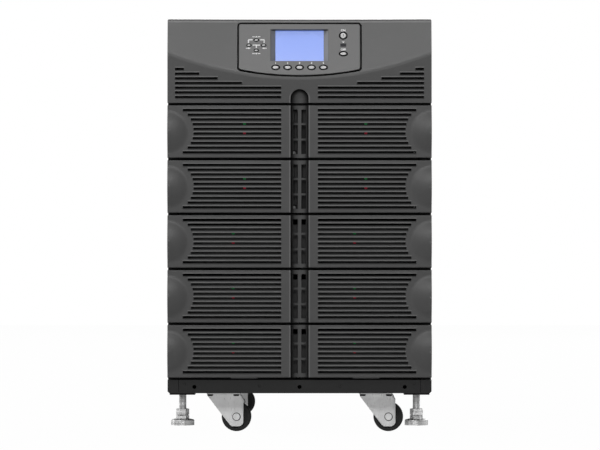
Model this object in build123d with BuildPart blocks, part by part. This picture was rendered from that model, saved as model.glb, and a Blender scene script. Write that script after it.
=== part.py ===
from build123d import *
import os
from math import asin, cos, radians, sin, sqrt, tan

os.makedirs("parts", exist_ok=True)

# Millimetres. X runs to the viewer's right, Y from the front to the rear, Z up from the floor.

# Cabinet
WIDTH = 440.0
DEPTH = 700.0
CASTER_HEIGHT = 67.3
BASE_HEIGHT = 22.1
ROW_COUNT = 5
POWER_ROWS = 2
ROW_SPACING = 91.5
ROW_GAP = 4.25
CONTROL_HEIGHT = 139.85
SHEET = 2.0
SHEET_GAP = 0.5
RETURN_WIDTH = 18.0
REAR_RETURN_WIDTH = 15.0
LID_FLANGE = 15.0
LID_STEP = 3.0

# Front bezels
WALL = 3.0
BEZEL_DEPTH = 28.0
BEZEL_EDGE_RADIUS = 1.5
SLOT_SPACING = 7.83
SLOT_HEIGHT = 4.2
SLOT_RAKE = 14.0
SLOT_LIFT = 0.65
SLOT_END_ROUND = 1.0
SLOT_INNER_X = 30.5
SLOT_END_RADIUS = 43.5
SLOT_MARGIN = 5.0
HOOK_WIDTH = 44.3
HOOK_HEIGHT = 1.2
HOOK_DEPTH = 12.0
DOME_RISE = 8.0
DOME_FOOT = 33.0
DOME_BLEND = 14.0
CHANNEL_WIDTH = 30.0
LADDER_MARGIN = 6.6
LADDER_RIB = 6.0
LADDER_HOLE_WIDTH = 7.8
LADDER_RUNG = 3.2
LADDER_ROWS = 3

# Control head: the face leans back above an arched crease
CREASE_RISE = 42.55
CREASE_SAG = 41.9
CREASE_BLEND = 40.0
BROW_TILT = 12.0
BROW_EDGE_RADIUS = 3.0
HEAD_SLOT_SPACING = 7.8
HEAD_SLOT_HEIGHT = 4.1
HEAD_SLOT_LOWEST = 9.55
HEAD_SLOT_SIDE_MARGIN = 12.6
HEAD_SLOT_SHORTEST = 8.0
HEAD_SLOT_CREASE_MARGIN = 17.1
ARCH_TOP = 22.85

# Control panel, let into the control head
PANEL_WIDTH = 202.4
PANEL_TOP_MARGIN = 7.8
PANEL_SIDE_HEIGHT = 75.8
PANEL_SAG = 10.3
PANEL_CORNER = 4.0
PANEL_GAP = 2.7
PANEL_PROUD = 2.5
PANEL_BEVEL = 1.0
LCD_WIDTH = 80.5
LCD_HEIGHT = 54.4
LCD_DROP = 43.5
LCD_BEVEL = 8.3
LCD_POCKET = 9.0
LCD_GLASS = 1.4
KEY_RECESS = 1.4
KEY_HEIGHT = 2.4
KEY_RING = 2.3
KEY_EDGE_RADIUS = 0.5
SOFT_KEY_COUNT = 5
SOFT_KEY_SPACING = 19.9
SOFT_KEY_DROP = 80.9
SOFT_KEY_WIDTH = 9.6
SOFT_KEY_HEIGHT = 5.0
NAV_X = -72.1
NAV_DROP = 43.6
NAV_REACH_X = 12.2
NAV_REACH_Z = 8.7
NAV_KEY_WIDTH = 5.4
NAV_KEY_HEIGHT = 2.8
NAV_KEY_RING = 1.6
POWER_X = 72.9
START_KEY_DROP = 27.4
START_KEY_DIAMETER = 9.2
LENS_DROP = 43.3
LENS_WIDTH = 9.7
LENS_HEIGHT = 5.3
LENS_CLEARANCE = 0.2
STOP_KEY_DROP = 57.9
STOP_KEY_WIDTH = 10.0
STOP_KEY_HEIGHT = 4.8

# Modules behind the bezels
MODULE_GAP = 2.0
MODULE_REAR_SPACE = 62.0
POWER_HEIGHT = 85.0
BATTERY_HEIGHT = 74.0
MODULE_EDGE = 1.0
STATUS_RADIUS = 2.5
STATUS_CLEARANCE = 0.1
STATUS_SEAT = 2.0
STATUS_PROUD = 1.2
STATUS_SHIFT = 9.4
GREEN_RISE = 13.8
RED_RISE = -1.8

# Rear panel
VENT_LENGTH = 120.0
VENT_WIDTH = 5.0
VENT_SPACING = 11.0
VENT_COUNT = 5
CABLE_WIDTH = 170.0
CABLE_HEIGHT = 70.0
CABLE_RISE = 25.0
CABLE_LAP = 10.0
GLAND_COUNT = 3
GLAND_SPACING = 48.0
GLAND_RADIUS = 15.0
GLAND_LIP = 3.0
GLAND_DEPTH = 5.0
GLAND_DIP = 2.0

# Base
BASE_SETBACK = 6.0
RAIL_SETBACK = 1.0
POST_WIDTH = 18.0
POST_CHAMFER = 3.0
RAIL_HOLE_INSET = 44.7
RAIL_HOLE_RADIUS = 3.35
RAIL_HOLE_RISE = 10.5

# Levelling feet
FOOT_INSET = 24.4
FOOT_SETBACK = 30.0
FOOT_PLATE = 3.0
FOOT_PLATE_WIDTH = 42.5
FOOT_LIFT = 12.9
FOOT_PAD_RADIUS = 19.5
FOOT_PAD_HEIGHT = 9.5
FOOT_PAD_ROUND = 2.5
FOOT_NUT_WIDTH = 18.8
FOOT_NUT_HEIGHT = 10.2
FOOT_LOCKNUT_HEIGHT = 6.8
FOOT_NUT_GAP = 0.8
FOOT_STEM_RADIUS = 6.0
FOOT_STEM_REACH = 15.7
FOOT_THREAD_CLEARANCE = 0.2
FOOT_FLOOR_CLEARANCE = 2.0

# Casters, all trailing the same way
CASTER_INSET = 92.0
CASTER_FRONT_SETBACK = 90.0
CASTER_REAR_SETBACK = 110.0
CASTER_TRAIL = 21.7
PLATE_THICKNESS = 3.0
PLATE_WIDTH = 56.0
PLATE_LENGTH = 92.0
PLATE_CORNER = 6.0
KINGPIN_RADIUS = 5.0
KINGPIN_HEAD_RADIUS = 8.0
KINGPIN_HEAD = 2.5
PIN_CLEARANCE = 0.06
SWIVEL_GAP = 0.5
FORK_FRONT = 26.0
FORK_BACK = 33.5
FORK_CROWN = 3.0
FORK_CHEEK = 2.5
FORK_BOW = 2.5
FORK_EDGE_ROUND = 1.5
FORK_LIP = 5.0
FORK_CORNER = 5.5
FORK_CORNER_DROP = 9.0
FORK_NOSE = 16.5
FORK_NOSE_FRONT = 9.2
FORK_NOSE_ROUND = 8.5
WHEEL_RADIUS = 25.0
WHEEL_WIDTH = 20.0
WHEEL_ROUND = 4.0
WHEEL_SIDE_GAP = 2.0
HUB_RADIUS = 12.0
HUB_DISH = 2.0
DISH_RADIUS = 19.0
AXLE_RADIUS = 4.0
AXLE_HEAD_RADIUS = 5.8
AXLE_HEAD = 1.2
AXLE_DISH_RADIUS = 3.2
AXLE_DISH = 1.0

# Places worked out from the sizes above
FRONT = -DEPTH / 2
REAR = DEPTH / 2
FACE = FRONT + DOME_RISE
CHASSIS_FRONT = FACE + BEZEL_DEPTH
BASE_TOP = CASTER_HEIGHT + BASE_HEIGHT
ROW_HEIGHT = ROW_SPACING - ROW_GAP
CONTROL_BOTTOM = BASE_TOP + ROW_COUNT * ROW_SPACING + ROW_GAP
TOP = CONTROL_BOTTOM + CONTROL_HEIGHT
LID_TOP = TOP - LID_STEP
PANELS_TOP = LID_TOP - LID_FLANGE
CREASE_Z = CONTROL_BOTTOM + CREASE_RISE
CREASE_RADIUS = ((WIDTH / 2) ** 2 + CREASE_SAG**2) / (2 * CREASE_SAG)
CREASE_AXIS_Z = CREASE_Z + CREASE_RADIUS
CHANNEL_RADIUS = CHANNEL_WIDTH / 2
PANEL_TOP = TOP - PANEL_TOP_MARGIN
PANEL_MIDDLE = PANEL_TOP - (PANEL_SIDE_HEIGHT + PANEL_SAG) / 2
BAY_WIDTH = WIDTH / 2 - RETURN_WIDTH - SHEET / 2
BAY_CENTRE = SHEET / 2 + BAY_WIDTH / 2
FLOOR_TOP = CASTER_HEIGHT + SHEET
BASE_FRONT = FACE + BASE_SETBACK
FOOT_X = WIDTH / 2 - FOOT_INSET
FOOT_Y = BASE_FRONT + FOOT_SETBACK
CASTER_X = WIDTH / 2 - CASTER_INSET
CASTER_FRONT_Y = FRONT + CASTER_FRONT_SETBACK
CASTER_REAR_Y = REAR - CASTER_REAR_SETBACK
RAIL_HOLE_X = WIDTH / 2 - RAIL_HOLE_INSET
MODULE_DEPTH = REAR - 2 * SHEET - MODULE_REAR_SPACE - CHASSIS_FRONT
FORK_TOP = CASTER_HEIGHT - PLATE_THICKNESS - SWIVEL_GAP
FORK_WIDTH = WHEEL_WIDTH + 2 * WHEEL_SIDE_GAP + 2 * FORK_CHEEK
TILT = radians(BROW_TILT)
RAKE = radians(SLOT_RAKE)
RAKE_DIRECTION = (0, cos(RAKE), sin(RAKE))
RAKE_LENGTH = WALL / cos(RAKE)

SIDES = (("left", -1), ("right", 1))
CASTER_ENDS = (("front", CASTER_FRONT_Y), ("rear", CASTER_REAR_Y))


def row_middle(row):
    """Height of the middle of a row's bezel; rows count from the bottom."""
    return BASE_TOP + ROW_GAP + row * ROW_SPACING + ROW_HEIGHT / 2


def front_plane(y):
    """Upright plane at depth y that faces the viewer: sketch X is X and sketch Y is Z."""
    return Plane.XZ.offset(-y)


def save(piece, name):
    """Label a finished piece and write it under that name."""
    piece.part.label = name
    export_step(piece.part, f"parts/{name}.step")


def half_chord(radius, offset):
    """Half the chord of a circle at an offset from its middle; nothing where the offset lies outside."""
    return sqrt(max(radius**2 - offset**2, 0))


def slot_pair(inner_x, outer_x, slot_z, height):
    """A slot on either side of the middle, with rounded ends; called inside a sketch."""
    with Locations(*[(side * (inner_x + outer_x) / 2, slot_z) for _, side in SIDES]):
        RectangleRounded(outer_x - inner_x, height, SLOT_END_ROUND)


# The control panel's own plane, leaning back with the brow
PANEL_DEPTH_Y = FACE + (PANEL_MIDDLE - CREASE_Z) * tan(TILT) - PANEL_PROUD
PANEL = Plane(
    origin=(0, PANEL_DEPTH_Y, PANEL_MIDDLE),
    x_dir=(1, 0, 0),
    z_dir=(0, -cos(TILT), sin(TILT)),
)


def panel_height(drop):
    """Sketch Y on the control panel of a point that lies a drop below the cabinet's top."""
    return (TOP - drop - PANEL_MIDDLE) / cos(TILT)


# Base tray: folded floor, side walls with lips, corner posts and rear wall
base_length = REAR - BASE_FRONT
with BuildPart() as base_tray:
    with BuildSketch(front_plane(REAR)):
        with BuildLine():
            Polyline(
                (-WIDTH / 2, BASE_TOP),
                (-WIDTH / 2, CASTER_HEIGHT + POST_CHAMFER),
                (-WIDTH / 2 + POST_CHAMFER, CASTER_HEIGHT),
                (WIDTH / 2 - POST_CHAMFER, CASTER_HEIGHT),
                (WIDTH / 2, CASTER_HEIGHT + POST_CHAMFER),
                (WIDTH / 2, BASE_TOP),
                close=True,
            )
        make_face()
    extrude(amount=base_length)
    with BuildSketch(front_plane(REAR - SHEET)):
        with BuildLine():
            Polyline(
                (-WIDTH / 2 + SHEET, BASE_TOP - SHEET),
                (-WIDTH / 2 + SHEET, FLOOR_TOP + POST_CHAMFER),
                (-WIDTH / 2 + SHEET + POST_CHAMFER, FLOOR_TOP),
                (WIDTH / 2 - SHEET - POST_CHAMFER, FLOOR_TOP),
                (WIDTH / 2 - SHEET, FLOOR_TOP + POST_CHAMFER),
                (WIDTH / 2 - SHEET, BASE_TOP - SHEET),
                close=True,
            )
        make_face()
    extrude(amount=base_length - 2 * SHEET, mode=Mode.SUBTRACT)
    # The tray is open between its lips, and at the front between its posts
    with BuildSketch(Plane.XY.offset(FLOOR_TOP)):
        with Locations((0, (BASE_FRONT + REAR - SHEET) / 2)):
            Rectangle(WIDTH - 2 * POST_WIDTH, base_length - SHEET)
    extrude(amount=BASE_HEIGHT, mode=Mode.SUBTRACT)
    with Locations(*[(side * FOOT_X, FOOT_Y, FLOOR_TOP) for _, side in SIDES]):
        Hole(FOOT_STEM_RADIUS + FOOT_FLOOR_CLEARANCE, depth=SHEET)
save(base_tray, "base_tray")

# Front rail between the posts, with three round holes
with BuildPart() as base_front_rail:
    with BuildSketch(front_plane(BASE_FRONT + RAIL_SETBACK + SHEET)):
        with Locations((0, (FLOOR_TOP + BASE_TOP) / 2)):
            Rectangle(WIDTH - 2 * POST_WIDTH - 2 * SHEET_GAP, BASE_TOP - FLOOR_TOP)
        with Locations((0, CASTER_HEIGHT + RAIL_HOLE_RISE)):
            with GridLocations(RAIL_HOLE_X, 0, 3, 1):
                Circle(RAIL_HOLE_RADIUS, mode=Mode.SUBTRACT)
    extrude(amount=SHEET)
save(base_front_rail, "base_front_rail")

# Side panels: folded sheets with a return at the front and at the rear
for side_name, side in SIDES:
    with BuildPart() as side_panel:
        with BuildSketch(Plane.XY.offset(BASE_TOP)):
            with BuildLine():
                outer = side * WIDTH / 2
                inner = outer - side * SHEET
                front_edge = outer - side * RETURN_WIDTH
                rear_edge = outer - side * REAR_RETURN_WIDTH
                Polyline(
                    (front_edge, CHASSIS_FRONT),
                    (outer, CHASSIS_FRONT),
                    (outer, REAR),
                    (inner, REAR),
                    (inner, REAR - SHEET),
                    (rear_edge, REAR - SHEET),
                    (rear_edge, REAR - 2 * SHEET),
                    (inner, REAR - 2 * SHEET),
                    (inner, CHASSIS_FRONT + SHEET),
                    (front_edge, CHASSIS_FRONT + SHEET),
                    close=True,
                )
            make_face()
        extrude(amount=PANELS_TOP - BASE_TOP)
    save(side_panel, f"{side_name}_side_panel")

# Lid: a shallow pan turned over, flush with the side panels
with BuildPart() as top_panel:
    with BuildSketch(Plane.XY.offset(PANELS_TOP)):
        with Locations((0, (CHASSIS_FRONT + REAR) / 2)):
            Rectangle(WIDTH, REAR - CHASSIS_FRONT)
    extrude(amount=LID_FLANGE)
    with BuildSketch(Plane.XY.offset(PANELS_TOP)):
        with Locations((0, (CHASSIS_FRONT + REAR) / 2)):
            Rectangle(WIDTH - 2 * SHEET, REAR - CHASSIS_FRONT - 2 * SHEET)
    extrude(amount=LID_FLANGE - SHEET, mode=Mode.SUBTRACT)
save(top_panel, "top_panel")

# Rear panel with a field of vents behind each module, and a cable window
cable_middle = CONTROL_BOTTOM + CABLE_RISE + CABLE_HEIGHT / 2
with BuildPart() as rear_panel:
    with BuildSketch(front_plane(REAR)):
        with Locations((0, (BASE_TOP + PANELS_TOP) / 2)):
            Rectangle(WIDTH - 2 * SHEET - 2 * SHEET_GAP, PANELS_TOP - BASE_TOP - 2 * SHEET_GAP)
        with Locations((0, (row_middle(0) + row_middle(ROW_COUNT - 1)) / 2)):
            with GridLocations(2 * BAY_CENTRE, ROW_SPACING, 2, ROW_COUNT):
                with GridLocations(0, VENT_SPACING, 1, VENT_COUNT):
                    SlotOverall(VENT_LENGTH, VENT_WIDTH, mode=Mode.SUBTRACT)
        with Locations((0, cable_middle)):
            Rectangle(CABLE_WIDTH, CABLE_HEIGHT, mode=Mode.SUBTRACT)
    extrude(amount=SHEET)
save(rear_panel, "rear_panel")

# Cable entry plate behind the window, and its blind glands
with BuildPart() as cable_plate:
    with BuildSketch(front_plane(REAR - SHEET)):
        with Locations((0, cable_middle)):
            Rectangle(CABLE_WIDTH + 2 * CABLE_LAP, CABLE_HEIGHT + 2 * CABLE_LAP)
            with GridLocations(GLAND_SPACING, 0, GLAND_COUNT, 1):
                Circle(GLAND_RADIUS, mode=Mode.SUBTRACT)
    extrude(amount=SHEET)
save(cable_plate, "cable_entry_plate")

with BuildPart() as cable_glands:
    with BuildSketch(front_plane(REAR - SHEET - GLAND_DEPTH + SHEET)):
        with Locations((0, cable_middle)):
            with GridLocations(GLAND_SPACING, 0, GLAND_COUNT, 1):
                Circle(GLAND_RADIUS)
    extrude(amount=-(GLAND_DEPTH - SHEET))
    with BuildSketch(front_plane(REAR)):
        with Locations((0, cable_middle)):
            with GridLocations(GLAND_SPACING, 0, GLAND_COUNT, 1):
                Circle(GLAND_RADIUS + GLAND_LIP)
    extrude(amount=SHEET)
    with BuildSketch(front_plane(REAR)):
        with Locations((0, cable_middle)):
            with GridLocations(GLAND_SPACING, 0, GLAND_COUNT, 1):
                Circle(GLAND_RADIUS - GLAND_LIP)
    extrude(amount=GLAND_DIP, mode=Mode.SUBTRACT)
save(cable_glands, "cable_glands")

# Bay divider: the middle partition and the shelves that carry the modules
with BuildPart() as bay_divider:
    with BuildSketch(front_plane(REAR - 2 * SHEET)):
        with Locations((0, BASE_TOP + (ROW_COUNT * ROW_SPACING + SHEET) / 2)):
            Rectangle(SHEET, ROW_COUNT * ROW_SPACING + SHEET)
            with GridLocations(0, ROW_SPACING, 1, ROW_COUNT + 1):
                Rectangle(WIDTH - 2 * SHEET - 2 * SHEET_GAP, SHEET)
    extrude(amount=REAR - CHASSIS_FRONT - 3 * SHEET)
save(bay_divider, "bay_divider")

# Bulkhead that closes the control section behind its bezel
bulkhead_bottom = BASE_TOP + ROW_COUNT * ROW_SPACING + SHEET
with BuildPart() as control_bulkhead:
    with BuildSketch(front_plane(CHASSIS_FRONT + SHEET)):
        with Locations((0, (bulkhead_bottom + PANELS_TOP) / 2)):
            Rectangle(WIDTH - 2 * RETURN_WIDTH - 2 * SHEET_GAP, PANELS_TOP - bulkhead_bottom)
    extrude(amount=SHEET)
save(control_bulkhead, "control_bulkhead")


def row_form(row, inset):
    """Body of a row bezel with its two half domes, drawn in by an inset on every closed side."""
    middle = row_middle(row)
    half_width = WIDTH / 2 - inset
    foot = DOME_FOOT - 2 * inset
    apex_y = FRONT + inset
    face_y = FACE + inset
    with BuildPart() as form:
        with BuildSketch(front_plane(CHASSIS_FRONT)):
            with Locations((0, middle)):
                Rectangle(2 * half_width, ROW_HEIGHT - 2 * inset)
        extrude(amount=BEZEL_DEPTH - inset)
        if inset == 0:
            long_edges = form.edges().filter_by(Axis.X).group_by(Axis.Y)[0]
            fillet(long_edges, BEZEL_EDGE_RADIUS)
        # The dome is a spherical cap that runs out into the face through a concave blend
        cap_radius = (foot**2 + DOME_RISE**2) / (2 * DOME_RISE)
        cap_y = apex_y + cap_radius
        blend_reach = sqrt((cap_radius + DOME_BLEND) ** 2 - (cap_y - face_y + DOME_BLEND) ** 2)
        cap_angle = asin(blend_reach / (cap_radius + DOME_BLEND))
        cap_points = [
            (cap_y - cap_radius * cos(angle), middle + cap_radius * sin(angle))
            for angle in (0, cap_angle / 2, cap_angle)
        ]
        for side_name, side in SIDES:
            with BuildSketch(Plane.YZ.offset(side * half_width)):
                with BuildLine():
                    cap = ThreePointArc(*cap_points)
                    blend = TangentArc(cap @ 1, (face_y, middle + blend_reach), tangent=cap % 1)
                    Polyline(
                        blend @ 1,
                        (face_y + WALL, middle + blend_reach),
                        (face_y + WALL, middle),
                        cap @ 0,
                    )
                make_face()
            revolve(axis=Axis((side * half_width, 0, middle), (0, -side, 0)), revolution_arc=180)
    return form.part


def channel_form(radius, low, high, dished, behind):
    """Round bar about the middle of the face, for the half-round channel; its top may be dished."""
    with BuildPart() as form:
        with BuildSketch(Plane.XY.offset(low)):
            with Locations((0, FACE)):
                Circle(radius)
        extrude(amount=high - low)
        if dished:
            with Locations((0, FACE, high)):
                Sphere(radius, arc_size1=0, align=(Align.CENTER, Align.CENTER, Align.MIN))
        if behind:
            with BuildSketch(front_plane(FACE + WALL / 2)):
                with Locations((0, high)):
                    Rectangle(4 * radius, 2 * (high - low) + 4 * radius)
            extrude(amount=2 * radius, mode=Mode.SUBTRACT)
    return form.part


def row_bezel(row, name):
    """Louvred moulding of one row: slotted fields, half domes at the ends, laddered channel between."""
    middle = row_middle(row)
    body = row_form(row, 0)
    core = row_form(row, WALL)
    low = middle - ROW_HEIGHT / 2
    high = middle + ROW_HEIGHT / 2
    trough = channel_form(CHANNEL_RADIUS + WALL, low + WALL / 2, high - WALL / 2, False, True)
    channel = channel_form(CHANNEL_RADIUS, low - ROW_GAP, high + ROW_GAP, False, False)
    slot_count = int((ROW_HEIGHT - 2 * SLOT_MARGIN - SLOT_HEIGHT) / SLOT_SPACING) + 1
    slot_rises = [SLOT_SPACING * (place - (slot_count - 1) / 2) for place in range(slot_count)]
    hole_height = (ROW_HEIGHT - 2 * LADDER_MARGIN - (LADDER_ROWS - 1) * LADDER_RUNG) / LADDER_ROWS
    with BuildPart() as bezel:
        add(body)
        add(core, mode=Mode.SUBTRACT)
        # Trough of the middle channel, then the channel itself and its ladder of holes
        add(trough)
        add(channel, mode=Mode.SUBTRACT)
        with BuildSketch(front_plane(FACE + CHANNEL_RADIUS + WALL)):
            with Locations((0, middle)):
                with GridLocations(
                    LADDER_RIB + LADDER_HOLE_WIDTH, hole_height + LADDER_RUNG, 2, LADDER_ROWS
                ):
                    Rectangle(LADDER_HOLE_WIDTH, hole_height)
        extrude(amount=CHANNEL_RADIUS + WALL, mode=Mode.SUBTRACT)
        # Slots run from the channel out to a ring around each dome, and rise to the rear as louvres
        with BuildSketch(front_plane(FACE)):
            for rise in slot_rises:
                outer_x = WIDTH / 2 - half_chord(SLOT_END_RADIUS, rise)
                slot_pair(SLOT_INNER_X, outer_x, middle + SLOT_LIFT + rise, SLOT_HEIGHT)
        extrude(amount=RAKE_LENGTH, dir=RAKE_DIRECTION, mode=Mode.SUBTRACT)
        # The lowest bezel has two hooks that reach down towards the base
        if row == 0:
            with BuildSketch(front_plane(FACE + BEZEL_EDGE_RADIUS + HOOK_DEPTH)):
                with Locations((STATUS_SHIFT, middle - ROW_HEIGHT / 2)):
                    with GridLocations(2 * BAY_CENTRE, 0, 2, 1):
                        Rectangle(HOOK_WIDTH, HOOK_HEIGHT, align=(Align.CENTER, Align.MAX))
            extrude(amount=HOOK_DEPTH)
    save(bezel, name)


for row in range(ROW_COUNT):
    row_bezel(row, f"row_bezel_{row + 1}")


def control_form(inset):
    """Body of the control head's bezel, drawn in by an inset on every closed side."""
    middle = CONTROL_BOTTOM + CONTROL_HEIGHT / 2
    crease_y = FACE + inset
    over_top = TOP + CONTROL_HEIGHT / 4
    with BuildPart() as form:
        with BuildSketch(front_plane(CHASSIS_FRONT)):
            with Locations((0, middle)):
                Rectangle(WIDTH - 2 * inset, CONTROL_HEIGHT - 2 * inset)
        extrude(amount=BEZEL_DEPTH - inset)
        # The brow is turned about an axis far above, so the crease is an arc
        with BuildSketch(Plane.YZ):
            with BuildLine():
                Polyline(
                    (crease_y, CREASE_Z),
                    (crease_y + (over_top - CREASE_Z) * tan(TILT), over_top),
                    (FRONT - BEZEL_DEPTH, over_top),
                    (FRONT - BEZEL_DEPTH, CREASE_Z),
                    close=True,
                )
            make_face()
        revolve(axis=Axis((0, 0, CREASE_AXIS_Z), (0, 1, 0)), mode=Mode.SUBTRACT)
        if inset == 0:
            arcs = form.edges().filter_by(GeomType.CIRCLE)
            fillet(arcs.sort_by(Axis.Z)[0], CREASE_BLEND)
            top_edges = form.faces().sort_by(Axis.Z)[-1].edges()
            fillet(top_edges - top_edges.sort_by(Axis.Y)[-1:], BROW_EDGE_RADIUS)
    return form.part


def panel_outline(grow):
    """Control panel's outline, with its arched lower edge and rounded corners."""
    half = PANEL_WIDTH / 2 + grow
    high = PANEL_TOP + grow
    low = PANEL_TOP - PANEL_SIDE_HEIGHT - grow
    with BuildSketch() as outline:
        with BuildLine():
            Polyline((-half, low), (-half, high), (half, high), (half, low))
            ThreePointArc((half, low), (0, low - PANEL_SAG), (-half, low))
        make_face()
        fillet(outline.vertices(), PANEL_CORNER + grow)
    return outline.sketch


window_outline = panel_outline(PANEL_GAP)
head_body = control_form(0)
head_core = control_form(WALL)
# The rows' middle channel runs out in the control head in a dished, half-round end
arch_z = CONTROL_BOTTOM + ARCH_TOP - CHANNEL_RADIUS
head_trough = channel_form(CHANNEL_RADIUS + WALL, CONTROL_BOTTOM + WALL / 2, arch_z, True, True)
head_channel = channel_form(CHANNEL_RADIUS, CONTROL_BOTTOM - ROW_GAP, arch_z, True, False)
with BuildPart() as control_bezel:
    add(head_body)
    add(head_core, mode=Mode.SUBTRACT)
    add(head_trough)
    add(head_channel, mode=Mode.SUBTRACT)
    # Vent slots that end along an arc below the crease, as many as there is room for
    head_slot_arc = CREASE_RADIUS + HEAD_SLOT_CREASE_MARGIN
    head_slot_outer = WIDTH / 2 - HEAD_SLOT_SIDE_MARGIN
    head_slot_lowest = CONTROL_BOTTOM + HEAD_SLOT_LOWEST
    head_slot_highest = CREASE_AXIS_Z - half_chord(head_slot_arc, head_slot_outer - HEAD_SLOT_SHORTEST)
    head_slot_count = int((head_slot_highest - head_slot_lowest) / HEAD_SLOT_SPACING) + 1
    with BuildSketch(front_plane(FACE)):
        for place in range(head_slot_count):
            slot_z = head_slot_lowest + HEAD_SLOT_SPACING * place
            inner_x = max(SLOT_INNER_X, half_chord(head_slot_arc, CREASE_AXIS_Z - slot_z))
            slot_pair(inner_x, head_slot_outer, slot_z, HEAD_SLOT_HEIGHT)
    extrude(amount=RAKE_LENGTH, dir=RAKE_DIRECTION, mode=Mode.SUBTRACT)
    # Window for the control panel
    with BuildSketch(front_plane(CHASSIS_FRONT)):
        add(window_outline)
    extrude(amount=BEZEL_DEPTH, mode=Mode.SUBTRACT)
save(control_bezel, "control_bezel")

# Keys: a node name, a size, the width of the seat round it and the places on the control panel
soft_key_places = [
    (SOFT_KEY_SPACING * (place - (SOFT_KEY_COUNT - 1) / 2), panel_height(SOFT_KEY_DROP))
    for place in range(SOFT_KEY_COUNT)
]
nav_key_places = [
    (NAV_X + NAV_REACH_X * across, panel_height(NAV_DROP - NAV_REACH_Z * up))
    for across, up in ((0, 1), (-1, 0), (1, 0), (0, -1))
]
start_key_places = [(POWER_X, panel_height(START_KEY_DROP))]
stop_key_places = [(POWER_X, panel_height(STOP_KEY_DROP))]
key_groups = (
    ("soft_keys", SOFT_KEY_WIDTH, SOFT_KEY_HEIGHT, KEY_RING, soft_key_places),
    ("navigation_keys", NAV_KEY_WIDTH, NAV_KEY_HEIGHT, NAV_KEY_RING, nav_key_places),
    ("start_key", START_KEY_DIAMETER, START_KEY_DIAMETER, KEY_RING, start_key_places),
    ("stop_key", STOP_KEY_WIDTH, STOP_KEY_HEIGHT, KEY_RING, stop_key_places),
)


def key_outline(width, height):
    """Round or oval outline of a key; called inside a sketch."""
    if width == height:
        Circle(width / 2)
    else:
        Ellipse(width / 2, height / 2)


face_outline = panel_outline(0)
lcd_middle = panel_height(LCD_DROP)
lens_place = (POWER_X, panel_height(LENS_DROP))
with BuildPart() as control_panel:
    with BuildSketch(front_plane(CHASSIS_FRONT)):
        add(face_outline)
    extrude(amount=2 * BEZEL_DEPTH)
    split(bisect_by=PANEL, keep=Keep.BOTTOM)
    chamfer(control_panel.faces().sort_by(Axis.Y)[0].edges(), PANEL_BEVEL)
    # Display pocket: flat floor, sloping cheeks left and right
    lcd_section = Plane(
        origin=PANEL.from_local_coords((0, lcd_middle - LCD_HEIGHT / 2, 0)),
        x_dir=PANEL.x_dir,
        z_dir=PANEL.y_dir,
    )
    with BuildSketch(lcd_section):
        with BuildLine():
            Polyline(
                (-LCD_WIDTH / 2 - LCD_BEVEL, 0),
                (LCD_WIDTH / 2 + LCD_BEVEL, 0),
                (LCD_WIDTH / 2, LCD_POCKET),
                (-LCD_WIDTH / 2, LCD_POCKET),
                close=True,
            )
        make_face()
    extrude(amount=LCD_HEIGHT, mode=Mode.SUBTRACT)
    # Dished seats of the keys, and the seat of the status lens
    for _, key_width, key_height, ring, places in key_groups:
        with BuildSketch(PANEL):
            with Locations(*places):
                key_outline(key_width + 2 * ring, key_height + 2 * ring)
        extrude(amount=-KEY_RECESS, mode=Mode.SUBTRACT)
    with BuildSketch(PANEL):
        with Locations(lens_place):
            Rectangle(LENS_WIDTH + 2 * LENS_CLEARANCE, LENS_HEIGHT + 2 * LENS_CLEARANCE)
    extrude(amount=-KEY_RECESS, mode=Mode.SUBTRACT)
save(control_panel, "control_panel")

for key_name, key_width, key_height, _, places in key_groups:
    with BuildPart() as keys:
        with BuildSketch(PANEL.offset(-KEY_RECESS)):
            with Locations(*places):
                key_outline(key_width, key_height)
        extrude(amount=KEY_HEIGHT)
        key_tops = keys.faces().filter_by(PANEL).group_by(Axis(PANEL.origin, PANEL.z_dir))[-1]
        fillet(key_tops.edges(), KEY_EDGE_RADIUS)
    save(keys, key_name)

with BuildPart() as status_lens:
    with BuildSketch(PANEL.offset(-KEY_RECESS)):
        with Locations(lens_place):
            Rectangle(LENS_WIDTH, LENS_HEIGHT)
    extrude(amount=KEY_RECESS)
save(status_lens, "status_lens")

with BuildPart() as display_screen:
    with BuildSketch(PANEL.offset(-LCD_POCKET)):
        with Locations((0, lcd_middle)):
            Rectangle(LCD_WIDTH, LCD_HEIGHT)
    extrude(amount=LCD_GLASS)
save(display_screen, "display_screen")


def is_power(row):
    """The upper rows hold power modules, the rows below them battery modules."""
    return row >= ROW_COUNT - POWER_ROWS


def status_x(row, side):
    """Status lights sit right of a power module's middle and left of a battery module's."""
    return side * BAY_CENTRE + (STATUS_SHIFT if is_power(row) else -STATUS_SHIFT)


for row in range(ROW_COUNT):
    kind = "power" if is_power(row) else "battery"
    module_height = POWER_HEIGHT if is_power(row) else BATTERY_HEIGHT
    shelf_top = BASE_TOP + row * ROW_SPACING + SHEET
    for side_name, side in SIDES:
        with BuildPart() as module:
            with BuildSketch(front_plane(CHASSIS_FRONT + MODULE_DEPTH)):
                with Locations((side * BAY_CENTRE, shelf_top + module_height / 2)):
                    Rectangle(BAY_WIDTH - 2 * MODULE_GAP, module_height)
            extrude(amount=MODULE_DEPTH)
            chamfer(module.faces().sort_by(Axis.Y)[0].edges(), MODULE_EDGE)
            with BuildSketch(front_plane(CHASSIS_FRONT + STATUS_SEAT)):
                for rise in (GREEN_RISE, RED_RISE):
                    with Locations((status_x(row, side), row_middle(row) + rise)):
                        Circle(STATUS_RADIUS + STATUS_CLEARANCE)
            extrude(amount=STATUS_SEAT, mode=Mode.SUBTRACT)
        save(module, f"{kind}_module_{row + 1}_{side_name}")

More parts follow.
